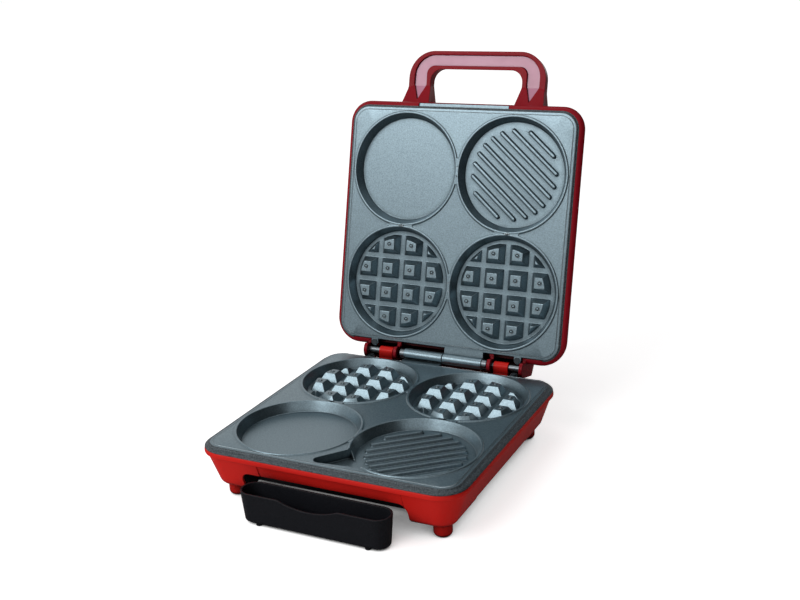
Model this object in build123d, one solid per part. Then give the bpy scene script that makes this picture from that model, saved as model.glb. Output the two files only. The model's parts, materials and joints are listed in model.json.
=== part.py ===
from build123d import *
from math import atan, cos, radians, sqrt, tan
import os

# A table-top snack cooker with a hinged lid, modelled with its lid open.
# All sizes are millimetres. The origin is on the table, midway between the four feet.
# +X is to the user's right, +Y runs back to the hinge, +Z is up.
# Each half is drawn with its cooking plane at z = 0 and its body hanging below it.
# The base half is then lifted. The lid half is mirrored, lifted and swung open.

# Stance and hinge
cooking_height = 52.0
closed_gap = 0.35
hinge_out = 4.8
hinge_rise = 2.2
lid_open_angle = 104.6

# Cooking plates
plate_half = 115.2
plate_corner = 15.5
plate_wall = 2.4
plate_skirt = 8.6
skirt_wall = 3.0
border_width = 2.6
border_drop = 0.4
bead_height = 1.0
bead_width = 2.2
well_pitch_x = 111.0
well_pitch_y = 111.6
well_mouth_r = 54.0
well_floor_r = 50.0
well_depth = 9.2

# Waffle studs and grill ribs
stud_pitch = 24.1
stud_foot = 19.2
stud_height = 7.4
stud_draft = 30.5
stud_ring_r = 46.6
corner_stud_height = 4.6
rib_pitch = 9.85
rib_angle = 40.5
rib_width = 4.2
rib_height = 2.6
rib_draft = 18.0
rib_ring_r = 43.4

# Fat channel from the front right well to a drain near the front edge of the lower plate
drain_x = -6.8
drain_y = -104.6
channel_end_r = 5.6
drain_r = 3.0
drain_tube_r = 4.5
drain_tube_end = 21.0

# Casings
rim_width = 6.2
rim_corner = 25.0
lid_front_corner = 21.5
rim_top = 3.2
rim_thick = 6.8
rim_top_round = 4.8
rim_round = 1.6
body_set_in = 1.7
wall = 2.8
plate_gap = 0.5
ledge_width = 3.2
ledge_thick = 2.5
wall_draft = 19.0
base_depth = 40.5
base_floor = 35.0
base_round = 8.0
lid_depth = 44.0
lid_round = 10.0
lid_inner_round = 7.0
pod_inner = 58.0
pod_slope = 5.0
front_panel_x = 6.0
front_panel_half = 66.0
front_panel_sink = 0.7
front_panel_top = 10.4

# Feet moulded on the base casing
foot_x = 96.5
foot_y = 95.5
foot_r = 7.8
foot_round = 3.6

# Drip tray and the bay it slides in
bay_x = -2.4
bay_mouth_half = 76.6
bay_mouth_top = 21.6
bay_mouth_corner = 8.0
bay_half = 76.0
bay_end_gap = 2.0
bay_roof = 1.4
tray_x = 1.6
tray_half = 68.2
tray_out = 21.6
tray_travel = 28.0
tray_length = 24.0
tray_corner = 11.9
tray_top = 23.2
tray_height = 27.0
tray_draft = 5.0
tray_wall = 1.8
tray_round = 2.2
tray_notch_x = 0.5
tray_notch_half = 27.5
tray_notch_depth = 5.7
tray_nub_x = 50.0
tray_nub_r = 2.6
tray_nub_inset = 5.2

# Lid handle, sizes in the plane of the lid
handle_out = 52.9
handle_half = 72.0
handle_corner = 27.0
handle_front = 30.0
handle_draft = 7.0
handle_round = 4.0
handle_flare_out = 14.6
handle_root_half = 75.0
handle_bury = 22.0
handle_bar = 18.1
leg_width = 23.8
grip_flare_out = 19.6
grip_root_half = 44.0
grip_corner = 11.5
leg_slope_out = 17.6
leg_root_in = 3.4
leg_root_z = 19.6
face_side_margin = 6.1
face_end_margin = 3.9
face_corner = 21.0
face_inner_margin = 4.5
face_bar = 10.7
face_inner_corner = 8.0
face_point_x = 58.8
face_point_out = 4.1
face_sink = 2.2
face_thick = 2.0
face_gap = 0.2
face_ledge = 1.5
lid_rim_gap_half = 47.0
lip_out = 5.0
lip_top = 4.6
lip_thick = 2.6
lip_gap = 0.5

# Hinge
lug_inner = 48.0
lug_outer = 84.0
lug_wall = 3.5
lug_r = 8.5
lug_front = 6.0
lug_depth = 24.0
lug_blend = 36.0
lug_skin = 2.6
lug_skin_start = 3.0
pin_r = 3.0
pin_seat = 2.2
pin_play = 0.05
end_play = 0.3
bracket_inner = 53.5
bracket_width = 15.0
bracket_r = 4.6
bracket_drop = 17.0
bracket_foot = 1.5
bracket_top_gap = 0.4
barrel_r = 5.5
barrel_end = 41.0
centre_pin_r = 2.6
cap_r = 4.6
cap_length = 4.6
web_thick = 3.6

# Plate ears and screws
ear_x = 76.0
ear_out = 3.4
ear_r = 3.6
ear_thick = 2.6
ear_screw_r = 1.3
ear_screw_length = 6.4
ear_head_r = 2.9
ear_head_height = 1.2
ear_gap = 0.4

# Heating and wiring
element_r = 3.0
element_half = 78.0
element_turn = 14.0
element_tail_x = 16.0
element_tail_y = 101.0
terminal_r = 1.5
terminal_length = 7.0
reflector_half = 96.0
reflector_corner = 10.0
reflector_thick = 0.6
reflector_lip = 5.0
reflector_gap = 0.3
post_r = 4.0
post_reach = 90.0
post_screw_r = 1.4
post_screw_length = 7.0
post_head_r = 2.8
post_head_height = 0.9
thermostat_r = 8.0
thermostat_height = 7.5
fuse_r = 2.2
fuse_length = 20.0
fuse_y = 24.0
lead_r = 1.3
lead_bend = 2.2
block_length = 34.0
block_width = 15.0
block_height = 8.0
block_y = 92.0

# Bottom cover
cover_thick = 2.4
cover_gap = 0.5
cover_screw_x = 103.0
cover_screw_y = 40.0
cover_screw_r = 1.8
cover_screw_length = 9.0
cover_head_r = 3.4
cover_head_height = 2.2
cover_boss_r = 4.4
cover_boss_height = 13.0
vent_count = 7
vent_pitch = 9.0
vent_length = 46.0
vent_width = 3.0
vent_y = -24.0

# Cord inlet at the back
gland_x = 36.0
gland_drop = 24.0
gland_boss_r = 9.0
gland_boss_out = 2.4
gland_r = 5.5
gland_bore_r = 3.5
gland_flange_r = 7.8
gland_flange_thick = 2.0
gland_length = 11.0

# Indicator lamps on top of the lid
lamp_x = 11.0
lamp_y = -66.0
lamp_r = 4.0
lamp_proud = 0.8
lamp_length = 7.0

# Heights that follow from the sizes above, measured from the cooking plane
land_z = -bead_height
border_z = land_z - border_drop
slab_z = border_z - plate_wall
skirt_z = border_z - plate_skirt
floor_z = -well_depth
cup_z = floor_z - plate_wall
ear_bottom = border_z - ear_thick
web_bottom = border_z - web_thick
rim_bottom = rim_top + rim_thick
rim_half = plate_half + rim_width
body_half = rim_half - body_set_in
body_corner = rim_corner - body_set_in
body_top = rim_bottom - rim_round
seat_half = plate_half + plate_gap
lean = tan(radians(wall_draft))
ledge_bottom = skirt_z - ledge_thick
element_z = cup_z - element_r
reflector_z = cup_z - 2 * element_r - reflector_gap
reflector_under = reflector_z - reflector_thick
lid_axis_z = closed_gap - hinge_rise
hinge_back = rim_half + hinge_out
ear_y = plate_half + ear_out
lip_reach = plate_half + lip_out
gland_boss_y = plate_half + gland_boss_out
tray_front = rim_half + tray_out
bay_back = tray_front - tray_travel - tray_length - bay_end_gap
handle_reach = rim_half + handle_out
handle_root_y = rim_half - leg_root_in
handle_end_y = handle_root_y - handle_bury
leg_flat_y = rim_half + leg_slope_out
grip_reach = handle_reach - handle_bar
grip_half = handle_half - leg_width
face_half = handle_half - face_side_margin
face_reach = handle_reach - face_end_margin
face_inner_half = grip_half + face_inner_margin
face_inner_reach = face_reach - face_bar
face_point_y = rim_half + face_point_out
quadrants = [(-1, -1), (1, -1), (-1, 1), (1, 1)]
posts = [(-post_reach, 0), (post_reach, 0), (0, -post_reach), (0, post_reach)]
ears = [(-ear_x, ear_y), (ear_x, ear_y)]
cover_screws = [(sx * cover_screw_x, sy * cover_screw_y) for sx, sy in quadrants]


def slab(half, corner, top, bottom):
    # A square block with round corners between two heights.
    plan = Plane.XY.offset(bottom) * RectangleRounded(2 * half, 2 * half, corner)
    return extrude(plan, amount=top - bottom)


def leaning_block(half, corner, top, bottom):
    # A square block whose walls lean inwards from top to bottom.
    head = Plane((0, 0, top), x_dir=(1, 0, 0), z_dir=(0, 0, -1))
    plan = head * RectangleRounded(2 * half, 2 * half, corner)
    return extrude(plan, amount=top - bottom, taper=wall_draft)


def box(x0, x1, y0, y1, z0, z1):
    middle = ((x0 + x1) / 2, (y0 + y1) / 2, (z0 + z1) / 2)
    return Pos(*middle) * Box(abs(x1 - x0), abs(y1 - y0), abs(z1 - z0))


def upright(x, y, r, z0, z1):
    return Pos(x, y, (z0 + z1) / 2) * Cylinder(r, abs(z1 - z0))


def along_x(x0, x1, y, z, r):
    return Pos((x0 + x1) / 2, y, z) * Rot(0, 90, 0) * Cylinder(r, abs(x1 - x0))


def along_y(y0, y1, x, z, r):
    return Pos(x, (y0 + y1) / 2, z) * Rot(90, 0, 0) * Cylinder(r, abs(y1 - y0))


def side_profile(points, x0, x1):
    # A profile of (y, z) points carried along X.
    plan = Plane.YZ.offset(x0) * Polygon(*points, align=None)
    return extrude(plan, amount=x1 - x0, dir=(1, 0, 0))


def raised(plan, z0, z1):
    # A flat plan carried from one height up to another.
    return extrude(Plane.XY.offset(z0) * plan, amount=z1 - z0, dir=(0, 0, 1))


def rim_block(front_corner):
    # The thick band round a casing half, with its own radius at the two front corners.
    plan = Rectangle(2 * rim_half, 2 * rim_half)
    plan = fillet([v for v in plan.vertices() if v.Y < 0], front_corner)
    plan = fillet([v for v in plan.vertices() if v.Y > 0], rim_corner)
    rim = raised(plan, -rim_bottom, -rim_top)
    rim = fillet(rim.faces().sort_by(Axis.Z)[0].edges(), rim_round)
    return fillet(rim.faces().sort_by(Axis.Z)[-1].edges(), rim_top_round)


def wall_at(depth):
    # Half width of the outer casing wall at a depth below the cooking plane.
    return body_half - (depth - body_top) * lean


def well_centre(side_x, side_y):
    return side_x * well_pitch_x / 2, side_y * well_pitch_y / 2


def well_beads():
    # Raised rings round the four wells, run together where they meet.
    rings = Sketch()
    for side_x, side_y in quadrants:
        rings += Pos(*well_centre(side_x, side_y)) * Circle(well_mouth_r + bead_width)
    return extrude(Plane.XY.offset(land_z) * rings, amount=bead_height, taper=20)


def stud_field():
    # A four by four field of studs with sloping sides, cut to the ring of a round well.
    studs = []
    offsets = [(i - 1.5) * stud_pitch for i in range(4)]
    for x in offsets:
        for y in offsets:
            corner = abs(x) > stud_pitch and abs(y) > stud_pitch
            height = corner_stud_height if corner else stud_height
            foot = Circle(stud_ring_r) & Pos(x, y) * Rectangle(stud_foot, stud_foot)
            studs.append(extrude(foot, amount=height, taper=stud_draft))
    return studs


def rib_field():
    # Nine slanting ribs with round ends that stop on one circle.
    ribs = []
    for i in range(-4, 5):
        offset = i * rib_pitch
        length = 2 * sqrt(rib_ring_r**2 - offset**2)
        plan = Rot(0, 0, rib_angle) * Pos(0, offset) * SlotOverall(length, rib_width)
        ribs.append(extrude(plan, amount=rib_height, taper=rib_draft))
    return ribs


def post_holes():
    # Holes for the screws that hold the reflector to the plate's posts.
    return [upright(x, y, post_screw_r, reflector_z, reflector_z + post_screw_length) for x, y in posts]


def cast_plate(hinge_side, axis_z):
    # One cast plate: rim, land, four wells, studs, ribs, screw ears and half the centre hinge.
    plate = slab(plate_half, plate_corner, border_z, skirt_z)
    plate -= slab(plate_half - skirt_wall, plate_corner - skirt_wall, slab_z, skirt_z)
    plate += slab(plate_half - border_width, plate_corner - border_width, land_z, slab_z)
    plate += well_beads()
    slope = (well_mouth_r - well_floor_r) / well_depth
    under_r = well_floor_r + plate_wall / cos(atan(slope)) - slope * plate_wall
    drop = slab_z - cup_z
    for side_x, side_y in quadrants:
        place = Pos(*well_centre(side_x, side_y), (slab_z + cup_z) / 2)
        plate += place * Cone(under_r, under_r + slope * drop, drop)
    for x, y in posts:
        plate += upright(x, y, post_r, reflector_z, slab_z)
    plate -= post_holes()
    for side_x, side_y in quadrants:
        place = Pos(*well_centre(side_x, side_y), floor_z / 2)
        plate -= place * Cone(well_floor_r, well_mouth_r, well_depth)
    relief = []
    for side in (-1, 1):
        place = Pos(*well_centre(side, 1), floor_z)
        relief += [place * stud for stud in stud_field()]
    place = Pos(*well_centre(1, -1), floor_z)
    relief += [place * rib for rib in rib_field()]
    plate += relief
    for x, y in ears:
        plate += upright(x, y, ear_r, ear_bottom, border_z)
        plate += box(x - ear_r, x + ear_r, plate_half - 1, y, ear_bottom, border_z)
        plate -= upright(x, y, ear_screw_r, ear_bottom, border_z)
    near, far = sorted((hinge_side * end_play, hinge_side * barrel_end))
    web = [
        (plate_half - 1, border_z),
        (hinge_back - 3, border_z),
        (hinge_back, axis_z),
        (hinge_back + 3, (border_z + web_bottom) / 2),
        (hinge_back - 1, web_bottom),
        (plate_half - 1, web_bottom),
    ]
    plate += side_profile(web, near, far)
    plate += along_x(near, far, hinge_back, axis_z, barrel_r)
    return plate


def make_lower_plate():
    plate = cast_plate(-1, hinge_rise)
    # Metal under the fat channel, so that the cut leaves a floor level with the wells' floors.
    x, y, r = drain_x, drain_y, channel_end_r
    pad = box(x - r - plate_wall, x + 6 * r, y - r - 1, y + 5 * r, cup_z, slab_z)
    for side in (-1, 1):
        place = Pos(*well_centre(side, -1), floor_z / 2)
        pad -= place * Cone(well_floor_r, well_mouth_r, well_depth)
    plate += pad
    plate -= post_holes()
    plate += upright(x, y, drain_tube_r, -drain_tube_end, cup_z)
    # The channel is a tongue from the grill well to a small round end by the front edge.
    cx, cy = well_centre(1, -1)
    tongue = Pos(x, y) * Circle(r)
    tongue += Polygon(
        (x - r * 0.75, y + r * 0.66),
        (cx - well_mouth_r * 0.89, cy - well_mouth_r * 0.41),
        (cx - well_mouth_r * 0.34, cy - well_mouth_r * 0.92),
        (x + r * 0.1, y - r),
        align=None,
    )
    plate -= raised(tongue, floor_z, 1)
    plate -= upright(x, y, drain_r, -drain_tube_end, 0)
    plate -= along_x(-barrel_end, -end_play, hinge_back, hinge_rise, centre_pin_r)
    return plate


def make_upper_plate():
    plate = cast_plate(1, lid_axis_z)
    half = lid_rim_gap_half - lip_gap
    plate += box(-half, half, -lip_reach, 1 - plate_half, -lip_top - lip_thick, -lip_top)
    plate -= along_x(end_play, barrel_end, hinge_back, lid_axis_z, centre_pin_r + pin_play)
    return plate


def open_body(depth, edge_round, front_corner):
    # Outer form of a casing half: a leaning body under a thick round-edged rim.
    body = leaning_block(body_half, body_corner, -body_top, -depth)
    body = fillet(body.faces().sort_by(Axis.Z)[0].edges(), edge_round)
    return body + rim_block(front_corner)


def plate_seat():
    # The pocket that takes a plate and the hole inside its ledge.
    pocket = slab(seat_half, plate_corner + plate_gap, 1, skirt_z)
    hole = slab(plate_half - ledge_width, plate_corner - ledge_width, skirt_z + 1, ledge_bottom - 1)
    return pocket + hole


def hollow(bottom, gap):
    half = wall_at(-ledge_bottom) - wall - gap
    return leaning_block(half, body_corner - wall - gap, ledge_bottom, bottom)


def ear_bosses():
    # Pads on the rim that carry the plate ears.
    return [box(x - ear_r, x + ear_r, seat_half, y + ear_r, -rim_bottom, ear_bottom) for x, y in ears]


def ear_recesses():
    # Room in the rim for the plate ears, and the holes for their screws.
    half = ear_r + ear_gap
    cuts = [box(x - half, x + half, seat_half - 1, rim_half + 1, ear_bottom, 1) for x, y in ears]
    cuts += [upright(x, y, ear_screw_r, border_z - ear_screw_length, ear_bottom) for x, y in ears]
    return cuts


def make_base_casing():
    casing = open_body(base_depth, base_round, rim_corner)
    # Between the corner pods the underside is higher.
    deep = base_depth + 1
    arch = [
        (-pod_inner, -base_floor),
        (pod_inner, -base_floor),
        (pod_inner + pod_slope, -deep),
        (-pod_inner - pod_slope, -deep),
    ]
    reach = rim_half + 5
    casing -= side_profile(arch, -reach, reach)
    casing -= Rot(0, 0, 90) * side_profile(arch, -reach, reach)
    # The middle of the front wall is sunk by a small even depth.
    panel = [
        (front_panel_sink - wall_at(front_panel_top), -front_panel_top),
        (-reach, -front_panel_top),
        (-reach, -deep),
        (front_panel_sink - wall_at(deep), -deep),
    ]
    casing -= side_profile(panel, front_panel_x - front_panel_half, front_panel_x + front_panel_half)
    # Brackets that rise from the back to carry the hinge pins.
    bracket = [
        (hinge_back - bracket_r, hinge_rise),
        (hinge_back + bracket_r / 2, hinge_rise - 0.8 * bracket_r),
        (wall_at(bracket_drop) + bracket_foot, -bracket_drop),
        (plate_half - 4, -bracket_drop),
        (plate_half - 4, -rim_top - bracket_top_gap),
        (hinge_back - bracket_r, -rim_top - bracket_top_gap),
    ]
    for side in (-1, 1):
        x0, x1 = sorted((side * bracket_inner, side * (bracket_inner + bracket_width)))
        casing += side_profile(bracket, x0, x1)
        casing += along_x(x0, x1, hinge_back, hinge_rise, bracket_r)
        casing -= along_x(x0, x1, hinge_back, hinge_rise, pin_r)
    casing += ear_bosses()
    casing += along_y(seat_half - 2 * wall, gland_boss_y, gland_x, -gland_drop, gland_boss_r)
    casing -= plate_seat()
    casing -= ear_recesses()
    web_end = barrel_end + ear_gap
    casing -= box(-web_end, 0, seat_half - 1, hinge_back, web_bottom - ear_gap, 1)
    casing -= hollow(-base_floor, 0)
    # Room inside the pods, a clear way for the tray, and its mouth in the front wall.
    inner = wall_at(-ledge_bottom) - wall
    pod_start = pod_inner + pod_slope + wall
    bay_cut = bay_half + cover_thick + cover_gap
    pods = leaning_block(inner, body_corner - wall, ledge_bottom, wall - base_depth)
    for side_x, side_y in quadrants:
        start_x = bay_cut + wall + side_x * bay_x if side_y < 0 else pod_start
        x0, x1 = sorted((side_x * start_x, side_x * rim_half))
        y0, y1 = sorted((side_y * pod_start, side_y * rim_half))
        casing -= pods & box(x0, x1, y0, y1, -deep, -base_floor + 1)
    x0, x1 = bay_x - bay_cut, bay_x + bay_cut
    casing -= hollow(-deep, 0) & box(x0, x1, -rim_half, -pod_inner - 1, -deep, -base_floor + 1)
    mouth = RectangleRounded(2 * bay_mouth_half, 2 * deep, bay_mouth_corner)
    mouth = Pos(bay_x, -bay_mouth_top - deep) * mouth
    behind = wall_at(base_depth) - 2 * wall
    casing -= extrude(Plane.XZ.offset(behind) * mouth, amount=reach - behind)
    casing -= along_y(gland_boss_y - gland_length - wall, reach, gland_x, -gland_drop, gland_r)
    top = cover_thick - base_floor
    for x, y in cover_screws:
        wall_x = wall_at(base_floor) - 1 if x > 0 else 1 - wall_at(base_floor)
        post = upright(x, y, cover_boss_r, top, top + cover_boss_height)
        x0, x1 = sorted((x, wall_x))
        post += box(x0, x1, y - 1.5, y + 1.5, top, top + cover_boss_height)
        casing += post
        casing -= upright(x, y, cover_screw_r, top, top + cover_screw_length - cover_thick)
    for side_x, side_y in quadrants:
        foot = upright(side_x * foot_x, side_y * foot_y, foot_r, -cooking_height, 2.5 - base_depth)
        casing += fillet(foot.faces().sort_by(Axis.Z)[0].edges(), foot_round)
    return casing


def framed_plan(half, reach, corner, root_half, root_y, straight_y):
    # A plan with round front corners whose sides slant away towards its root.
    straight_y = min(straight_y, reach - corner - 1)
    plan = Polygon(
        (-root_half, -root_y),
        (-half, -straight_y),
        (-half, -reach),
        (half, -reach),
        (half, -straight_y),
        (root_half, -root_y),
        align=None,
    )
    front = [v for v in plan.vertices() if v.Y < 0.1 - reach]
    return fillet(front, corner)


def make_handle():
    outer = framed_plan(
        handle_half, handle_reach, handle_corner,
        handle_root_half, handle_root_y, rim_half + handle_flare_out,
    )
    outer += box_plan(handle_root_half, handle_root_y, handle_end_y)
    grip = framed_plan(
        grip_half, grip_reach, grip_corner,
        grip_root_half, handle_root_y, rim_half + grip_flare_out,
    )
    grip += box_plan(grip_root_half, handle_root_y, handle_end_y)
    start = Plane.XY.offset(-handle_front)
    depth = lid_depth - handle_front
    back = extrude(start * outer, amount=depth, dir=(0, 0, -1), taper=handle_draft)
    back = fillet(back.faces().sort_by(Axis.Z)[0].edges(), handle_round)
    # Towards the lid the legs come forward on a slope.
    slope = [
        (-leg_flat_y, -handle_front),
        (-handle_root_y, -leg_root_z),
        (-handle_end_y, -leg_root_z),
        (-handle_end_y, -handle_front),
    ]
    legs = raised(outer, -handle_front, -leg_root_z)
    legs = legs & side_profile(slope, -handle_root_half - 1, handle_root_half + 1)
    handle = back + legs
    hole = extrude(start * grip, amount=depth + 1, dir=(0, 0, -1), taper=-handle_draft)
    return handle - hole - raised(grip, -handle_front, 0)


def box_plan(half, y0, y1):
    return Pos(0, -(y0 + y1) / 2) * Rectangle(2 * half, y0 - y1)


def face_block(gap, near, far):
    # The horseshoe of the handle's face, between two depths under the front of bar and legs.
    straight_y = rim_half + grip_flare_out
    outer = framed_plan(
        face_half - gap, face_reach - gap, face_corner,
        face_point_x, face_point_y + 3 * gap, straight_y,
    )
    inner = framed_plan(
        face_inner_half + gap, face_inner_reach + gap, face_inner_corner,
        face_point_x, face_point_y + 3 * gap, straight_y,
    )
    front = [
        (-handle_reach - 1, -handle_front),
        (-leg_flat_y, -handle_front),
        (-handle_root_y, -leg_root_z),
    ]
    band = [(y, z - near) for y, z in front] + [(y, z - far) for y, z in reversed(front)]
    block = raised(outer - inner, -lid_depth, -leg_root_z)
    return block & side_profile(band, -handle_half, handle_half)


def make_lid_casing():
    casing = open_body(lid_depth, lid_round, lid_front_corner)
    casing += make_handle()
    skin_y = hinge_back + lug_r
    cheek = [
        (skin_y, lid_axis_z),
        (skin_y, -lug_depth),
        (wall_at(lug_blend), -lug_blend),
        (plate_half - 8, -lug_blend),
        (plate_half - 4, -rim_bottom),
        (hinge_back - lug_front, -rim_top - bracket_top_gap),
        (hinge_back - lug_front, lid_axis_z),
    ]
    room = [
        (plate_half - 20, 12),
        (skin_y + 4, 12),
        (skin_y + 4, lid_axis_z - lug_skin_start),
        (skin_y - lug_skin, lid_axis_z - lug_skin_start),
        (skin_y - lug_skin, -lug_depth),
        (wall_at(lug_blend) - lug_skin, lug_skin - lug_blend),
        (plate_half - 20, lug_skin - lug_blend),
    ]
    for side in (-1, 1):
        x0, x1 = sorted((side * lug_inner, side * lug_outer))
        lug = side_profile(cheek, x0, x1) + along_x(x0, x1, hinge_back, lid_axis_z, lug_r)
        lug -= side_profile(room, x0 + lug_wall, x1 - lug_wall)
        lug -= box(x0, x1, hinge_back - lug_r, hinge_back - lug_front, -rim_top, lug_r)
        casing += lug
        casing -= box(x0 + lug_wall, x1 - lug_wall, seat_half - 1, hinge_back, -rim_bottom, 1)
        inner_end = side * (lug_inner - 1)
        outer_end = side * (lug_outer - lug_wall + pin_seat + end_play)
        casing -= along_x(inner_end, outer_end, hinge_back, lid_axis_z, pin_r + pin_play)
    # A cover over the barrels joins the two boxes.
    casing += side_profile(cheek, -lug_inner, lug_inner) - side_profile(room, -lug_inner, lug_inner)
    casing += ear_bosses()
    gap = lid_rim_gap_half
    casing -= box(-gap, gap, seat_half - 1, rim_half + 1, -rim_bottom, 1)
    casing -= box(-gap, gap, -rim_half - 1, 1 - seat_half, -lip_top - lip_thick - lip_gap, 1)
    casing -= plate_seat()
    casing -= ear_recesses()
    inside = hollow(wall - lid_depth, 0)
    casing -= fillet(inside.faces().sort_by(Axis.Z)[0].edges(), lid_inner_round)
    casing -= face_block(0, leg_root_z - handle_front, face_sink + face_thick)
    casing -= face_block(face_ledge, 0, lid_depth - handle_front - wall)
    for side in (-1, 1):
        casing -= upright(side * lamp_x, lamp_y, lamp_r, -lid_depth, -lid_depth + wall + 1)
    return casing


def make_handle_face():
    return face_block(face_gap, face_sink, face_sink + face_thick)


def make_lamp(side):
    lens = upright(side * lamp_x, lamp_y, lamp_r, -lid_depth - lamp_proud, lamp_length - lid_depth)
    return fillet(lens.faces().sort_by(Axis.Z)[0].edges(), lamp_proud * 0.9)


def make_cover():
    top = cover_thick - base_floor
    bay_top = bay_roof - bay_mouth_top
    outer = bay_half + cover_thick
    back = cover_thick - bay_back
    cover = slab(wall_at(base_floor), 12, top, -base_floor)
    cover += box(bay_x - outer, bay_x + outer, -rim_half, back, -base_depth, bay_top)
    x0, x1 = bay_x - bay_half, bay_x + bay_half
    cover -= box(x0, x1, -rim_half - 1, -bay_back, -base_depth - 1, -bay_mouth_top)
    cover = cover & hollow(-base_depth, cover_gap)
    hole_r = drain_tube_r + cover_gap
    cover -= upright(drain_x, drain_y, hole_r, -base_floor, ledge_bottom)
    for x, y in cover_screws:
        cover -= upright(x, y, cover_screw_r + 0.2, -base_floor, top)
    for i in range(vent_count):
        x = (i - (vent_count - 1) / 2) * vent_pitch
        slot = Pos(x, vent_y) * Rot(0, 0, 90) * SlotOverall(vent_length, vent_width)
        cover -= raised(slot, -base_floor, top)
    return cover


def make_tray():
    middle_y = tray_length / 2 - tray_front
    head = Plane((tray_x, middle_y, -tray_top), x_dir=(1, 0, 0), z_dir=(0, 0, -1))
    plan = RectangleRounded(2 * tray_half, tray_length, tray_corner)
    tray = extrude(head * plan, amount=tray_height, taper=tray_draft)
    tray = fillet(tray.faces().sort_by(Axis.Z)[0].edges(), tray_round)
    inner = RectangleRounded(
        2 * (tray_half - tray_wall), tray_length - 2 * tray_wall, tray_corner - tray_wall,
    )
    tray -= extrude(head * inner, amount=tray_height - tray_wall, taper=tray_draft)
    # The finger notch is a shallow arc in the front wall.
    notch_r = (tray_notch_half**2 + tray_notch_depth**2) / (2 * tray_notch_depth)
    notch_z = notch_r - tray_top - tray_notch_depth
    tray -= along_y(-tray_front - 1, middle_y, tray_notch_x, notch_z, notch_r)
    bottom = tray_wall / 2 - tray_top - tray_height
    for x in (tray_x - tray_nub_x, tray_x + tray_nub_x):
        for y in (tray_nub_inset - tray_front, tray_length - tray_front - tray_nub_inset):
            tray += upright(x, y, tray_nub_r, -cooking_height, bottom)
    return tray


def make_element():
    # A bent tube heater that lies under the four wells, with its two ends at the back.
    h, tx, ty = element_half, element_tail_x, element_tail_y
    path = FilletPolyline(
        (tx, ty), (tx, h), (h, h), (h, -h), (-h, -h), (-h, h), (-tx, h), (-tx, ty),
        radius=element_turn,
    )
    path = Pos(0, 0, element_z) * path
    start = Plane((tx, ty, element_z), x_dir=(1, 0, 0), z_dir=(0, -1, 0))
    tube = sweep(start * Circle(element_r), path=path)
    for side in (-1, 1):
        tube += along_y(ty - 1, ty + terminal_length, side * tx, element_z, terminal_r)
    return tube


def make_reflector():
    # A pressed sheet under the heater with a turned-up edge.
    sheet = slab(reflector_half, reflector_corner, reflector_z + reflector_lip, reflector_under)
    inner = reflector_half - reflector_thick
    inner_corner = reflector_corner - reflector_thick
    sheet -= slab(inner, inner_corner, reflector_z + reflector_lip, reflector_z)
    half = element_tail_x + element_r + 1.5
    sheet -= box(-half, half, reflector_half - 2, reflector_half + 1, reflector_z, 0)
    for x, y in posts:
        sheet -= upright(x, y, post_screw_r, reflector_under, reflector_z)
    return sheet


def make_ear_screws():
    screws = []
    for x, y in ears:
        screw = upright(x, y, ear_screw_r, border_z - ear_screw_length, border_z)
        screw += upright(x, y, ear_head_r, border_z, border_z + ear_head_height)
        screws.append(screw)
    return Compound(children=screws)


def make_post_screws():
    screws = []
    for x, y in posts:
        screw = upright(x, y, post_screw_r, reflector_under, reflector_z + post_screw_length)
        screw += upright(x, y, post_head_r, reflector_under - post_head_height, reflector_under)
        screws.append(screw)
    return Compound(children=screws)


def make_cover_screws():
    screws = []
    for x, y in cover_screws:
        screw = upright(x, y, cover_screw_r, -base_floor, cover_screw_length - base_floor)
        screw += upright(x, y, cover_head_r, -base_floor - cover_head_height, -base_floor)
        screws.append(screw)
    return Compound(children=screws)


def make_side_pin(side):
    start = side * (lug_inner + end_play)
    end = side * (lug_outer - lug_wall + pin_seat)
    return along_x(start, end, hinge_back, hinge_rise, pin_r)


def make_centre_pin():
    pin = along_x(-barrel_end, barrel_end + cap_length - 1, hinge_back, hinge_rise, centre_pin_r)
    return pin + along_x(-barrel_end - cap_length, -barrel_end, hinge_back, hinge_rise, cap_r)


def make_pin_cap():
    near = barrel_end + end_play
    cap = along_x(near, near + cap_length, hinge_back, hinge_rise, cap_r)
    bore_end = barrel_end + cap_length - 1
    return cap - along_x(near, bore_end, hinge_back, hinge_rise, centre_pin_r)


def make_gland():
    end = gland_boss_y + gland_flange_thick
    gland = along_y(end - gland_length, end, gland_x, -gland_drop, gland_r)
    gland += along_y(gland_boss_y, end, gland_x, -gland_drop, gland_flange_r)
    return gland - along_y(end - gland_length, end, gland_x, -gland_drop, gland_bore_r)


def make_block():
    # A terminal block that stands on the bottom cover.
    z0 = cover_thick - base_floor
    half = block_length / 2
    y0, y1 = block_y - block_width / 2, block_y + block_width / 2
    block = box(-half, half, y0, y1, z0, z0 + block_height)
    for i in range(3):
        x = (i - 1) * block_length / 3
        block -= upright(x, block_y, 2.2, z0 + block_height - 3, z0 + block_height)
    return block


def make_lead(points):
    # Straight runs joined by round bends.
    path = FilletPolyline(*points, radius=lead_bend)
    start = Plane(path @ 0, z_dir=path % 0)
    return sweep(start * Circle(lead_r), path=path)


def element_lead(side):
    # From one end of the lower heater, down and into the terminal block.
    block_z = cover_thick - base_floor + block_height / 2
    x, y = side * element_tail_x, element_tail_y + terminal_length
    bx, by = side * block_length / 4, block_y + block_width / 2
    return make_lead([(x, y, element_z), (x, y + 4, element_z), (bx, by + 6, block_z), (bx, by, block_z)])


def inlet_lead(side):
    # From the cord inlet into one end of the terminal block.
    block_z = cover_thick - base_floor + block_height / 2
    x = gland_x + side * lead_r * 1.5
    y = gland_boss_y - 4
    turn_y = y - 17 - 3 * side
    bx, by = block_length / 2, block_y - side * block_width / 4
    return make_lead([(x, y, -gland_drop), (x, turn_y, -gland_drop), (bx + 8, by, block_z), (bx, by, block_z)])


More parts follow.
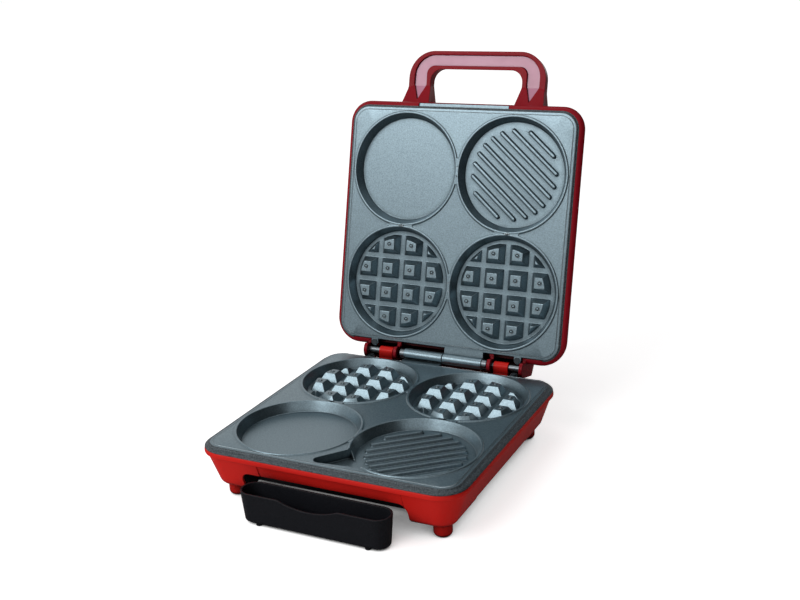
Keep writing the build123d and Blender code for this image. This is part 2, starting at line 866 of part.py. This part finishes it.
def make_thermostat():
    return upright(0, 0, thermostat_r, slab_z - thermostat_height, slab_z)


def make_fuse():
    return along_y(fuse_y - fuse_length / 2, fuse_y + fuse_length / 2, 0, slab_z - fuse_r, fuse_r)


def on_base(shape):
    return Pos(0, 0, cooking_height) * shape


def on_lid(shape):
    # Mirrored over the base, lifted by the closed gap and swung open about the hinge.
    shut = Pos(0, 0, cooking_height + closed_gap) * mirror(shape, about=Plane.XY)
    hinge = Axis((0, hinge_back, cooking_height + hinge_rise), (1, 0, 0))
    return shut.rotate(hinge, -lid_open_angle)


base_parts = {
    "base_casing": make_base_casing,
    "base_cover": make_cover,
    "cover_screws": make_cover_screws,
    "lower_plate": make_lower_plate,
    "lower_plate_screws": make_ear_screws,
    "lower_element": make_element,
    "lower_reflector": make_reflector,
    "lower_reflector_screws": make_post_screws,
    "thermostat": make_thermostat,
    "thermal_fuse": make_fuse,
    "terminal_block": make_block,
    "left_element_lead": lambda: element_lead(-1),
    "right_element_lead": lambda: element_lead(1),
    "live_lead": lambda: inlet_lead(-1),
    "neutral_lead": lambda: inlet_lead(1),
    "cord_gland": make_gland,
    "left_hinge_pin": lambda: make_side_pin(-1),
    "right_hinge_pin": lambda: make_side_pin(1),
    "hinge_centre_pin": make_centre_pin,
    "hinge_pin_cap": make_pin_cap,
    "drip_tray": make_tray,
}

lid_parts = {
    "lid_casing": make_lid_casing,
    "handle_face": make_handle_face,
    "upper_plate": make_upper_plate,
    "upper_plate_screws": make_ear_screws,
    "upper_element": make_element,
    "upper_reflector": make_reflector,
    "upper_reflector_screws": make_post_screws,
    "power_lamp_lens": lambda: make_lamp(-1),
    "ready_lamp_lens": lambda: make_lamp(1),
}

os.makedirs("parts", exist_ok=True)
for name, make in base_parts.items():
    export_step(on_base(make()), f"parts/{name}.step")
for name, make in lid_parts.items():
    export_step(on_lid(make()), f"parts/{name}.step")
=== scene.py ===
import json
import math
import bpy
import numpy as np
from mathutils import Matrix, Vector


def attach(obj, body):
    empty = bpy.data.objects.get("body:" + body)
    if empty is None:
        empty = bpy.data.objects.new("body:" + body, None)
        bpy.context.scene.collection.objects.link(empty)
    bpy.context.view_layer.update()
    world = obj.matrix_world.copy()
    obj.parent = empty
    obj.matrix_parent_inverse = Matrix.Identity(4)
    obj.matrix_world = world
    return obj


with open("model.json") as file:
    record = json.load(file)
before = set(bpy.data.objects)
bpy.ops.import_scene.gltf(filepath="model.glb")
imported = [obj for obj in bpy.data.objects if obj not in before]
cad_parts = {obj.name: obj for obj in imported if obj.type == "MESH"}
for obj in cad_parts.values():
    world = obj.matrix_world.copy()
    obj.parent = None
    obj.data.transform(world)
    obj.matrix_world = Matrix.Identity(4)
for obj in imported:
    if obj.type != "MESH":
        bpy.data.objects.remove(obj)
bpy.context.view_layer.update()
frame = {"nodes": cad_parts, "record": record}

print("stage: frame loaded")

# Camera as in the photo. Lengths in metres, angles in degrees.
cameraSet = {
    "place": (0.433246, -0.820012, 0.462114),
    "turnFromFront": 26.80,
    "lookDown": 18.39,
    "roll": -2.515,
    "lens": 51.36,
    "sensorWidth": 36.0,   # millimetres, as the lens
    "farthest": 50.0,
}

# Lights: place, aim, size, power in watts, colour
lightSet = {
    "key": {
        "at": (-0.88, -1.50, 1.30),
        "aim": (0, 0.05, 0.12),
        "size": (1.7, 1.0),
        "power": 18,
        "tint": "#FFFFFF",
    },
    "top": {
        "at": (-0.30, 0.10, 1.90),
        "aim": (0, 0.05, 0.10),
        "size": (0.8, 0.8),
        "power": 3,
        "tint": "#FFFFFF",
    },
}
worldSet = {"plain": 0.41, "toCamera": 1.0, "toGloss": 0.80}

# Black cards that the camera doesn't see. They darken reflections and shade the object from the right and
# the back. Each is given by its two ends on the floor plan and its height.
cardSet = {
    "rightCard": {"from": (0.85, -0.75), "to": (0.85, 0.95), "low": 0.02, "high": 1.10},
    "backCard": {"from": (-0.42, 1.05), "to": (0.85, 1.05), "low": 0.37, "high": 1.60},
}


# Colour and node helpers

def linear(hexColour):
    # sRGB hex to linear: ((c + 0.055) / 1.055) to the power 2.4, or c / 12.92 near black
    parts = [int(hexColour[i:i + 2], 16) / 255 for i in (1, 3, 5)]
    return tuple(c / 12.92 if c <= 0.04045 else ((c + 0.055) / 1.055) ** 2.4 for c in parts) + (1.0,)


def addNode(tree, kind, settings=None, inputs=None, links=None):
    # One node: settings are its own fields, inputs its socket values, links {socket: other socket}.
    node = tree.nodes.new(kind)
    for name, value in (settings or {}).items():
        setattr(node, name, value)
    for name, value in (inputs or {}).items():
        node.inputs[name].default_value = value
    for name, source in (links or {}).items():
        tree.links.new(source, node.inputs[name])
    return node


def freshMaterial(name):
    material = bpy.data.materials.new(name)
    material.use_nodes = True
    material.node_tree.nodes.clear()
    return material, material.node_tree


def closeMaterial(tree, shader):
    addNode(tree, "ShaderNodeOutputMaterial", links={"Surface": shader.outputs[0]})


def perMetre(millimetres):
    # Pattern scale: how many repeats fit in a metre.
    return 1000 / millimetres


def objectPlace(tree, scale=(1.0, 1.0, 1.0)):
    # Where a point lies on its object, in metres, stretched along each axis by scale.
    place = addNode(tree, "ShaderNodeTexCoord").outputs["Object"]
    return addNode(tree, "ShaderNodeMapping", inputs={"Scale": scale}, links={"Vector": place}).outputs[0]


def grain(tree, place, millimetres, detail):
    # Soft cloudy pattern with grains of about the given size.
    return addNode(tree, "ShaderNodeTexNoise", inputs={"Scale": perMetre(millimetres), "Detail": detail},
                   links={"Vector": place})


def blend(tree, pattern, dark, light, darkHex, lightHex):
    # Colour from darkHex, where the pattern is at most dark, to lightHex, where it is at least light.
    tone = addNode(tree, "ShaderNodeValToRGB", links={"Fac": pattern.outputs[0]})
    for step, position, hexColour in zip(tone.color_ramp.elements, (dark, light), (darkHex, lightHex)):
        step.position = position
        step.color = linear(hexColour)
    return tone


def roughen(tree, pattern, strength, height):
    # Relief from a pattern; the height is in millimetres.
    return addNode(tree, "ShaderNodeBump", inputs={"Strength": strength, "Distance": height / 1000},
                   links={"Height": pattern.outputs[0]})


def paintShade(tree, tone, shade, reach):
    # The colour made darker as painted shade where the shade is low. reach is (darkest at, full colour at,
    # darkest factor).
    darkest, clear, least = reach
    depth = addNode(tree, "ShaderNodeMapRange",
                    inputs={"From Min": darkest, "From Max": clear, "To Min": least},
                    links={"Value": shade.outputs["AO"]})
    return addNode(tree, "ShaderNodeMixRGB", {"blend_type": "MULTIPLY"}, {"Fac": 1.0},
                   {"Color1": tone.outputs[0], "Color2": depth.outputs[0]})


# Finishes

castSet = {
    "fleck": 1.1,               # millimetres
    "fleckSteps": (0.38, 0.66),
    "pebble": 0.8,
    "corner": 5.0,              # millimetres, how far from a corner the coat is painted darker as shade
    "cornerPaintedShade": (0.42, 0.96, 0.05),
    "edge": 0.9,                # millimetres, how far from an edge it is painted lighter as a highlight
    "edgeHighlightReach": (0.75, 0.35, 0.75),
    "edgeHighlightHex": "#B9C7CD",
}


def coatedCast(name, darkHex, lightHex):
    # Die-cast aluminium under a sprayed grey non-stick coat: satin, with a fine pebble from the spray
    # and lighter flecks in it. Its colour is lighter on edges as a painted highlight, and darker in corners
    # as painted shade.
    material, tree = freshMaterial(name)
    place = objectPlace(tree)
    fleck = grain(tree, place, castSet["fleck"], 2.0)
    fleck.inputs["Roughness"].default_value = 0.6
    tone = blend(tree, fleck, *castSet["fleckSteps"], darkHex, lightHex)
    # painted shade: the colour darkens near corners
    cornerShadeProbe = addNode(tree, "ShaderNodeAmbientOcclusion", {"only_local": True, "samples": 8},
                      {"Distance": castSet["corner"] / 1000})
    withPaintedShade = paintShade(tree, tone, cornerShadeProbe, castSet["cornerPaintedShade"])
    # painted highlight: the colour lightens near edges
    edge = addNode(tree, "ShaderNodeAmbientOcclusion", {"only_local": True, "inside": True, "samples": 8},
                   {"Distance": castSet["edge"] / 1000})
    none, most, share = castSet["edgeHighlightReach"]
    paintedEdgeHighlight = addNode(tree, "ShaderNodeMapRange", inputs={"From Min": none, "From Max": most, "To Max": share},
                   links={"Value": edge.outputs["AO"]})
    colour = addNode(tree, "ShaderNodeMixRGB", inputs={"Color2": linear(castSet["edgeHighlightHex"])},
                     links={"Fac": paintedEdgeHighlight.outputs[0], "Color1": withPaintedShade.outputs[0]})
    bump = roughen(tree, grain(tree, place, castSet["pebble"], 1.0), 0.22, 0.2)
    shader = addNode(tree, "ShaderNodeBsdfPrincipled",
                     inputs={"Metallic": 0.85, "Roughness": 0.32},
                     links={"Base Color": colour.outputs[0], "Normal": bump.outputs[0]})
    closeMaterial(tree, shader)
    return material


shellSet = {
    "wave": 60,                 # millimetres
    "waveSteps": (0.3, 0.7),
    "near": 30.0,               # millimetres, how near another piece or wall makes the red painted deeper as shade
    "nearPaintedShade": (0.30, 0.72, 0.05),
    "shine": 0.08,              # far weaker than real plastic's 0.5, to match the photo
}


def redShell(name, darkHex, lightHex):
    # Injection-moulded ABS in a polished red: soft highlights, hardly any grain. Its red is painted deeper
    # as shade in corners and where other pieces stand close.
    material, tree = freshMaterial(name)
    wave = grain(tree, objectPlace(tree), shellSet["wave"], 1.0)
    tone = blend(tree, wave, *shellSet["waveSteps"], darkHex, lightHex)
    bump = roughen(tree, wave, 0.06, 0.4)
    # painted shade from nearby pieces and walls
    shade = addNode(tree, "ShaderNodeAmbientOcclusion", {"samples": 8},
                    {"Distance": shellSet["near"] / 1000})
    withPaintedShade = paintShade(tree, tone, shade, shellSet["nearPaintedShade"])
    shader = addNode(tree, "ShaderNodeBsdfPrincipled",
                     inputs={"Roughness": 0.24, "Specular IOR Level": shellSet["shine"]},
                     links={"Base Color": withPaintedShade.outputs[0], "Normal": bump.outputs[0]})
    closeMaterial(tree, shader)
    return material


def mouldedPlastic(name, darkHex, lightHex, roughness, grainSize, shine=0.5):
    # Moulded plastic with a fine spark-eroded grain: even colour, soft sheen.
    material, tree = freshMaterial(name)
    noise = grain(tree, objectPlace(tree), grainSize, 2.0)
    tone = blend(tree, noise, 0.35, 0.65, darkHex, lightHex)
    bump = roughen(tree, noise, 0.12, 0.1)
    shader = addNode(tree, "ShaderNodeBsdfPrincipled",
                     inputs={"Roughness": roughness, "Specular IOR Level": shine},
                     links={"Base Color": tone.outputs[0], "Normal": bump.outputs[0]})
    closeMaterial(tree, shader)
    return material


def steelFinish(name, hexColour, roughness):
    # Zinc-plated or plain steel: metal, with faint drawn lines along X.
    material, tree = freshMaterial(name)
    drawn = grain(tree, objectPlace(tree, (0.05, 1.0, 1.0)), 0.7, 2.0)
    bump = roughen(tree, drawn, 0.15, 0.1)
    shader = addNode(tree, "ShaderNodeBsdfPrincipled",
                     inputs={"Base Color": linear(hexColour), "Metallic": 1.0, "Roughness": roughness},
                     links={"Normal": bump.outputs[0]})
    closeMaterial(tree, shader)
    return material


def tintedLens(name, darkHex, lightHex):
    # Clear tinted polycarbonate over a lamp, with fine moulded rings under its face.
    material, tree = freshMaterial(name)
    ringScale = perMetre(1.2) / 6.3  # rings about 1.2 millimetres apart
    ring = addNode(tree, "ShaderNodeTexWave", {"wave_type": "RINGS", "rings_direction": "Z"},
                   {"Scale": ringScale, "Distortion": 0.0}, {"Vector": objectPlace(tree)})
    tone = blend(tree, ring, 0.0, 1.0, darkHex, lightHex)
    shader = addNode(tree, "ShaderNodeBsdfPrincipled",
                     inputs={"Roughness": 0.08, "Transmission Weight": 0.5},
                     links={"Base Color": tone.outputs[0]})
    closeMaterial(tree, shader)
    return material


finishes = {
    "casing_red": redShell("polishedRedAbs", "#D2231E", "#DC2822"),
    # painted sheen: the inlay's pale pink stands for bright light on the handle's glossy face
    "handle_inlay": mouldedPlastic("inlayPaintedSheen", "#C4849C", "#CE90A8", 0.12, 20),
    "cast_coated": coatedCast("coatedCastAluminium", "#6B7B83", "#7E9098"),
    "black_plastic": mouldedPlastic("blackPolypropylene", "#15161A", "#1E1F24", 0.38, 0.9, 0.15),
    "steel": steelFinish("platedSteel", "#6E7478", 0.32),
    "heater_steel": steelFinish("heatDarkenedSteel", "#6A625C", 0.45),
    "reflector_sheet": steelFinish("rolledAluminiumSheet", "#D2D4D5", 0.28),
    "lead_sleeve": mouldedPlastic("glassFibreSleeve", "#B9B6AC", "#D2CFC6", 0.7, 0.6),
    "fuse_body": mouldedPlastic("glazedCeramic", "#CFC9B8", "#D8D2C2", 0.25, 8),
    "gland_black": mouldedPlastic("blackRubber", "#0D0E0F", "#141516", 0.6, 0.8),
    "power_lens": tintedLens("redLens", "#B01614", "#CC1E1C"),
    "ready_lens": tintedLens("greenLens", "#127A2C", "#1C983C"),
}
# Nodes whose finish differs from their slot's. The ears' screws are blackened. The lid is deeper red only to
# match how the photo lights it: the real one probably has the base's red.
ownFinish = {
    # painted shade: the lid's red is darker than the base's
    "lid_casing": redShell("redAbsPaintedShade", "#8C1420", "#961824"),
    "lower_plate_screws": steelFinish("blackenedSteel", "#3A3F43", 0.35),
    "upper_plate_screws": steelFinish("blackenedSteelAbove", "#3A3F43", 0.35),
}
print("stage: finishes made")

# CAD nodes keep their place and get their finish, with narrow round edges where they show: millimetres
edgeSet = {
    "base_casing": 0.5,
    "lid_casing": 0.5,
    "lower_plate": 0.45,
    "upper_plate": 0.45,
    "drip_tray": 0.4,
    "handle_face": 0.3,
    "base_cover": 0.3,
    "cord_gland": 0.3,
}


def dressNode(name, node, finish):
    node.data.materials.clear()
    node.data.materials.append(finish)
    weld = node.modifiers.new("weld", "WELD")
    weld.merge_threshold = 0.00001
    if name in edgeSet:
        bevel = node.modifiers.new("roundEdges", "BEVEL")
        bevel.width = edgeSet[name] / 1000
        bevel.segments = 2
        bevel.limit_method = "ANGLE"
        bevel.angle_limit = math.radians(28)
        bevel.use_clamp_overlap = False
        settle = node.modifiers.new("flatFacesFirst", "WEIGHTED_NORMAL")
        settle.weight = 100
        settle.keep_sharp = False


slotOf = {row["node"]: row["material_slot"] for row in frame["record"]["subparts"]}
for nodeName, node in frame["nodes"].items():
    dressNode(nodeName, node, ownFinish.get(nodeName, finishes[slotOf[nodeName]]))
print("stage: CAD nodes dressed")


# New pieces, drawn on the lower plate and carried to the upper one by the hinge

plateSet = {
    "cookingHeight": 52.0,   # millimetres, the top of the beads
    "closedGap": 0.35,
    "wellPitch": (111.0, 111.6),
    "beadRadius": 56.2,      # outside of the bead
    "studTop": -1.8,         # under the top of the beads
    "studPitch": 24.1,
    "studsAcross": 4,
}
hinge = next(row for row in frame["record"]["behaviour"]["joints"] if row["name"] == "lid_hinge")


def onUpperPlate(points):
    # The lower plate's points in metres: z mirrored in the cooking plane, lifted by the closed gap, then
    # turned back about the hinge line by the angle that the lid stands open.
    height = plateSet["cookingHeight"] / 1000
    shut = points * (1, 1, -1) + (0, 0, 2 * height + plateSet["closedGap"] / 1000)
    turn = -math.radians(hinge["range_deg"][1])
    centre = np.array(hinge["pos_m"])
    y, z = (shut - centre)[..., 1], (shut - centre)[..., 2]
    swung = np.stack([shut[..., 0] - centre[0], y * math.cos(turn) - z * math.sin(turn),
                      y * math.sin(turn) + z * math.cos(turn)], axis=-1)
    return swung + centre


def gridFaces(rows, columns, closed):
    # Quads of a grid of points, row by row. A closed grid joins its last column to its first.
    steps = columns if closed else columns - 1
    r, c = np.meshgrid(np.arange(rows - 1), np.arange(steps), indexing="ij")
    near, far = r * columns + c, r * columns + (c + 1) % columns
    return np.stack([near, far, far + columns, near + columns], axis=-1).reshape(-1, 4)


def addPiece(name, points, faces, body, coats, which):
    # A new piece of one or more coats; which gives the number of each face's own.
    mesh = bpy.data.meshes.new(name)
    corners = faces if isinstance(faces, list) else faces.tolist()
    mesh.from_pydata(points.reshape(-1, 3).tolist(), [], corners)
    for coat in coats:
        mesh.materials.append(coat)
    mesh.polygons.foreach_set("material_index", which)
    mesh.polygons.foreach_set("use_smooth", np.ones(len(faces), dtype=bool))
    mesh.update()
    piece = bpy.data.objects.new(name, mesh)
    bpy.context.collection.objects.link(piece)
    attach(piece, body)


markSet = {
    "profile": [(2.3, -0.3), (2.25, 0.3), (2.1, 0.42), (1.9, 0.42), (1.7, 0.2), (1.5, 0.04), (1.2, 0.04),
                (1.05, 0.25), (0.8, 0.46), (0.35, 0.55), (0.02, 0.57)],
    "dotFrom": 6,        # the profile's steps from here on are the dot
    "around": 24,
}


def studMarks(onPlate):
    # The moulding pin's mark on top of each full stud, so not on the four in the corners. A point is
    # centre + (r cos a, r sin a, h), where (r, h) runs along the profile from the foot of the ring to the
    # tip of the dot and a runs once round.
    profile = np.array(markSet["profile"])
    angle = np.linspace(0, 2 * np.pi, markSet["around"], endpoint=False)
    one = np.stack([np.outer(profile[:, 0], np.cos(angle)),
                    np.outer(profile[:, 0], np.sin(angle)),
                    np.repeat(profile[:, 1:], len(angle), axis=1)], axis=-1)
    across = plateSet["studsAcross"]
    steps = (np.arange(across) - (across - 1) / 2) * plateSet["studPitch"]
    x, y = (v.ravel() for v in np.meshgrid(steps, steps))
    full = np.minimum(abs(x), abs(y)) < plateSet["studPitch"]
    x, y = x[full], y[full]
    side = np.repeat([-1, 1], len(x)) * plateSet["wellPitch"][0] / 2
    top = plateSet["cookingHeight"] + plateSet["studTop"]
    centres = np.stack([np.tile(x, 2) + side,
                        np.tile(y, 2) + plateSet["wellPitch"][1] / 2,
                        np.full(2 * len(x), top)], axis=-1)
    points = (centres[:, None, None, :] + one[None]) / 1000
    rows, columns = one.shape[:2]
    faces = gridFaces(rows, columns, True)
    count = rows * columns
    every = (faces[None] + np.arange(len(centres))[:, None, None] * count).reshape(-1, 4)
    # the ring's faces take the second coat, painted shade
    dark = np.arange(len(faces)) < markSet["dotFrom"] * columns
    return onPlate(points), every, np.tile(dark, len(centres)).astype(np.int32)


webSet = {
    "reach": 15.5,      # millimetres, how far a web runs each way from where two beads touch
    "sink": 0.12,       # its top under the beads' top
    "foot": 1.3,        # how deep its sides go
    "overlap": 1.2,     # into the beads
    "hollow": 3.0,      # how far its ends curve in
    "foldFrom": 0.9,    # where its top starts to fall, as a part of the way out
    "steps": (13, 41),  # points across and along
}


def beadWebs(onPlate):
    # Metal that fills the narrow corner between two beads. Across it u runs from -1 to 1, along it v does.
    # Distance along = v (reach - hollow (1 - u squared) abs(v) cubed); half width = half the pitch
    # - root(bead radius squared - distance along squared) + the overlap; the top falls to the foot where
    # u or v nears 1.
    wide, long = webSet["steps"]
    u, v = np.meshgrid(np.linspace(-1, 1, wide), np.linspace(-1, 1, long))
    fold = webSet["foldFrom"]
    pieces, faces, start = [], [], 0
    pitchX, pitchY = plateSet["wellPitch"]
    for pitch, other, across in ((pitchX, pitchY, 0), (pitchY, pitchX, 1)):
        along = v * (webSet["reach"] - webSet["hollow"] * (1 - u * u) * abs(v) ** 3)
        half = pitch / 2 - np.sqrt(plateSet["beadRadius"] ** 2 - along ** 2) + webSet["overlap"]
        edge = np.maximum(abs(u), abs(v))
        fall = webSet["foot"] * np.clip((edge - fold) / (1 - fold), 0, 1) ** 2
        z = plateSet["cookingHeight"] - webSet["sink"] - fall
        for side in (-1, 1):
            flat = [half * u, along + side * other / 2]
            if across:
                flat = [along + side * other / 2, half * u]
            pieces.append(np.stack([*flat, z], axis=-1).reshape(-1, 3))
            quads = gridFaces(*u.shape, False) + start
            faces.append(quads[:, ::-1] if across else quads)
            start += u.size
    faces = np.concatenate(faces)
    return onPlate(np.concatenate(pieces) / 1000), faces, np.zeros(len(faces), dtype=np.int32)


skirtSet = {
    # half width and height over the beads' top, millimetres: from the plate's edge out onto the casing's rim
    "edge": [(114.9, -1.45), (115.5, -1.5), (116.0, -2.0), (116.4, -2.75)],
    "rimCentre": (116.8, -8.0),       # of the casing rim's rounding
    "rimRadius": 5.05,                # of its way over that
    "lowerTurn": 52,                  # degrees that it goes round it on the lower plate
    "upperTurn": 4,                   # and on the upper plate, where it is only a dark line
    "turnSteps": 6,
    "under": [(116.2, -3.6), (114.9, -3.2)],
    "thick": 0.5,
    "halfs": (115.2, 121.6),          # half widths where the corners have the inner and the outer radius
    "innerRadius": 15.5,
    "outerRadius": 25.0,
    "upperFrontRadius": 21.5,         # the outer one of the upper plate's front corners
    "backFrom": 95,                   # degrees, where it starts and ends at the back
    "around": 14,
}


def edgeSkirt(onPlate):
    # The plate's skirt where it rolls out over the casing's rim, on the front, the sides and round the back
    # corners. In each corner a point is (sx (h - r) + r cos a, sy (h - r) + r sin a, z), where (h, z) runs
    # round the profile, r grows with h, and a turns through the corner. Straight sides join the corners.
    lower = onPlate is sameSide
    whole = skirtSet["lowerTurn" if lower else "upperTurn"]
    turn = np.radians(np.linspace(0, whole, skirtSet["turnSteps"]))
    way = np.stack([np.sin(turn), np.cos(turn)], axis=-1)
    over = skirtSet["rimCentre"] + skirtSet["rimRadius"] * way
    back = skirtSet["rimCentre"] + (skirtSet["rimRadius"] - skirtSet["thick"]) * way[::-1]
    profile = np.concatenate([skirtSet["edge"], over, back, skirtSet["under"]])
    half = profile[:, 0]
    height = profile[:, 1] + plateSet["cookingHeight"]
    outer = skirtSet["outerRadius"]
    front = outer if lower else skirtSet["upperFrontRadius"]
    backFrom = skirtSet["backFrom"]
    # side in x, side in y, first and last angle, outer radius
    corners = (
        (-1, 1, backFrom, 180, outer),
        (-1, -1, 180, 270, front),
        (1, -1, 270, 360, front),
        (1, 1, 360, 540 - backFrom, outer),
    )
    rows = []
    for sx, sy, first, last, corner in corners:
        radius = np.interp(half, skirtSet["halfs"], (skirtSet["innerRadius"], corner))
        angle = np.radians(np.linspace(first, last, skirtSet["around"]))[:, None]
        x = sx * (half - radius) + radius * np.cos(angle)
        y = sy * (half - radius) + radius * np.sin(angle)
        rows.append(np.stack([x, y, np.broadcast_to(height, x.shape)], axis=-1))
    points = np.concatenate(rows)
    count, across = points.shape[:2]
    faces = gridFaces(count, across, True).tolist()
    faces.append(list(range(across)))
    faces.append(list(range(count * across - 1, (count - 1) * across - 1, -1)))
    return onPlate(points / 1000), faces, np.zeros(len(faces), dtype=np.int32)


def sameSide(points):
    return points


# The marks' second coat darkens their ring as painted shade. The skirt's coat is rough and dark, as the
# photo shows it.
plateCoats = (finishes["cast_coated"], coatedCast("markRingPaintedShade", "#20292E", "#2A343A"))
# painted shade: the skirt's coat is darker than the plate's own coat
skirtCoats = (mouldedPlastic("skirtCoatPaintedShade", "#23292D", "#5A646A", 0.5, 0.9, 0.3),)
kinds = (
    ("StudMarks", studMarks, plateCoats),
    ("BeadWebs", beadWebs, plateCoats),
    ("EdgeSkirt", edgeSkirt, skirtCoats),
)
for plate, body, onPlate in (("lower", "base", sameSide), ("upper", "lid", onUpperPlate)):
    for label, made, coats in kinds:
        points, faces, which = made(onPlate)
        if plate == "upper":
            faces = [list(face)[::-1] for face in faces]  # mirrored, so turned to face outwards again
        addPiece(plate + label, points, faces, body, coats, which)
print("stage: stud marks, bead webs and edge skirts made")


# Floor, lights and camera

floorSet = {
    "half": 6.0,         # metres
    "toCamera": 0.70,    # what camera rays see on top of the lit floor, so that it reads white
    "toGloss": 0.05,     # what rays from gloss see on top of it
    "paint": 0.93,       # how pale it is
    "paintInGloss": 0.15,
    "paintedShadowNear": 0.045,       # metres, how near a thing stands for a shadow to be painted on the floor under it
    "paintedShadowFull": 0.12,    # openness up to which the painted shadow is full, and from which the floor is white
    "paintedShadowNone": 0.42,
}


def backgroundLevel(tree, plain, toCamera, toGloss):
    # A value that is plain for spread light, toCamera for camera rays, toGloss for gloss and through glass.
    path = addNode(tree, "ShaderNodeLightPath")
    shiny = addNode(tree, "ShaderNodeMath", {"operation": "MAXIMUM"})
    tree.links.new(path.outputs["Is Glossy Ray"], shiny.inputs[0])
    tree.links.new(path.outputs["Is Transmission Ray"], shiny.inputs[1])
    first = addNode(tree, "ShaderNodeMapRange", inputs={"To Min": plain, "To Max": toGloss},
                    links={"Value": shiny.outputs[0]})
    return addNode(tree, "ShaderNodeMapRange", inputs={"To Max": toCamera},
                   links={"Value": path.outputs["Is Camera Ray"], "To Min": first.outputs[0]})


def makeFloor():
    # The plane z = 0 over a wide square. It keeps the object's shadow, has a painted shadow where things
    # stand near it, and is painted darker for rays from gloss.
    half = floorSet["half"]
    corners = np.array([[-half, -half, 0], [half, -half, 0], [half, half, 0], [-half, half, 0]])
    mesh = bpy.data.meshes.new("paleFloor")
    mesh.from_pydata(corners.tolist(), [], [(0, 1, 2, 3)])
    floor = bpy.data.objects.new("paleFloor", mesh)
    bpy.context.collection.objects.link(floor)
    material, tree = freshMaterial("paleFloorPaint")
    paint = backgroundLevel(tree, floorSet["paint"], floorSet["paint"], floorSet["paintInGloss"])
    glow = backgroundLevel(tree, 0.0, floorSet["toCamera"], floorSet["toGloss"])
    # painted shadow: the floor's glow is cut where things stand near
    paintedShadowNear = addNode(tree, "ShaderNodeAmbientOcclusion", {"samples": 16}, {"Distance": floorSet["paintedShadowNear"]})
    paintedShadowOpen = addNode(tree, "ShaderNodeMapRange",
                      inputs={"From Min": floorSet["paintedShadowFull"], "From Max": floorSet["paintedShadowNone"]},
                      links={"Value": paintedShadowNear.outputs["AO"]})
    glowPaintedShadow = addNode(tree, "ShaderNodeMath", {"operation": "MULTIPLY"})
    tree.links.new(glow.outputs[0], glowPaintedShadow.inputs[0])
    tree.links.new(paintedShadowOpen.outputs[0], glowPaintedShadow.inputs[1])
    shader = addNode(tree, "ShaderNodeBsdfPrincipled",
                     inputs={"Roughness": 0.9, "Specular IOR Level": 0.1,
                             "Emission Color": linear("#FFFFFF")},
                     links={"Base Color": paint.outputs[0], "Emission Strength": glowPaintedShadow.outputs[0]})
    closeMaterial(tree, shader)
    mesh.materials.append(material)


def makeCard(name, values):
    # A flat upright card between two points on the floor plan.
    (x0, y0), (x1, y1) = values["from"], values["to"]
    low, high = values["low"], values["high"]
    corners = np.array([[x0, y0, low], [x1, y1, low], [x1, y1, high], [x0, y0, high]])
    mesh = bpy.data.meshes.new(name)
    mesh.from_pydata(corners.tolist(), [], [(0, 1, 2, 3)])
    card = bpy.data.objects.new(name, mesh)
    bpy.context.collection.objects.link(card)
    material, tree = freshMaterial(name + "Paint")
    shader = addNode(tree, "ShaderNodeBsdfDiffuse", inputs={"Color": linear("#0C0C0C")})
    closeMaterial(tree, shader)
    mesh.materials.append(material)
    card.visible_camera = False


def makeLight(name, values):
    data = bpy.data.lights.new(name, "AREA")
    data.shape = "RECTANGLE"
    data.size, data.size_y = values["size"]
    data.energy = values["power"]
    data.color = linear(values["tint"])[:3]
    light = bpy.data.objects.new(name, data)
    bpy.context.collection.objects.link(light)
    light.location = values["at"]
    toward = Vector(values["aim"]) - Vector(values["at"])
    light.rotation_euler = toward.to_track_quat("-Z", "Y").to_euler()


def makeWorld():
    # A pale room all round. Camera and mirror rays see it white.
    world = bpy.data.worlds.new("paleRoom")
    bpy.context.scene.world = world
    world.use_nodes = True
    tree = world.node_tree
    tree.nodes.clear()
    level = backgroundLevel(tree, worldSet["plain"], worldSet["toCamera"], worldSet["toGloss"])
    shade = addNode(tree, "ShaderNodeBackground", inputs={"Color": linear("#FFFFFF")},
                    links={"Strength": level.outputs[0]})
    addNode(tree, "ShaderNodeOutputWorld", links={"Surface": shade.outputs[0]})


def makeCamera(values):
    turn, down, roll = (math.radians(values[k]) for k in ("turnFromFront", "lookDown", "roll"))
    data = bpy.data.cameras.new("photoCamera")
    data.lens = values["lens"]
    data.sensor_width = values["sensorWidth"]
    data.clip_end = values["farthest"]
    camera = bpy.data.objects.new("photoCamera", data)
    bpy.context.collection.objects.link(camera)
    forward = Vector((-math.sin(turn) * math.cos(down), math.cos(turn) * math.cos(down), -math.sin(down)))
    level = forward.cross(Vector((0, 0, 1))).normalized()
    upright = level.cross(forward)
    right = level * math.cos(roll) + upright * math.sin(roll)
    up = right.cross(forward)
    turned = Matrix((right, up, -forward)).transposed()
    camera.matrix_world = Matrix.Translation(values["place"]) @ turned.to_4x4()
    bpy.context.scene.camera = camera


makeFloor()
makeWorld()
for cardName, cardValues in cardSet.items():
    makeCard(cardName, cardValues)
for lightName, lightValues in lightSet.items():
    makeLight(lightName, lightValues)
makeCamera(cameraSet)
bpy.context.scene.view_settings.view_transform = "Standard"
print("stage: floor, lights and camera made")
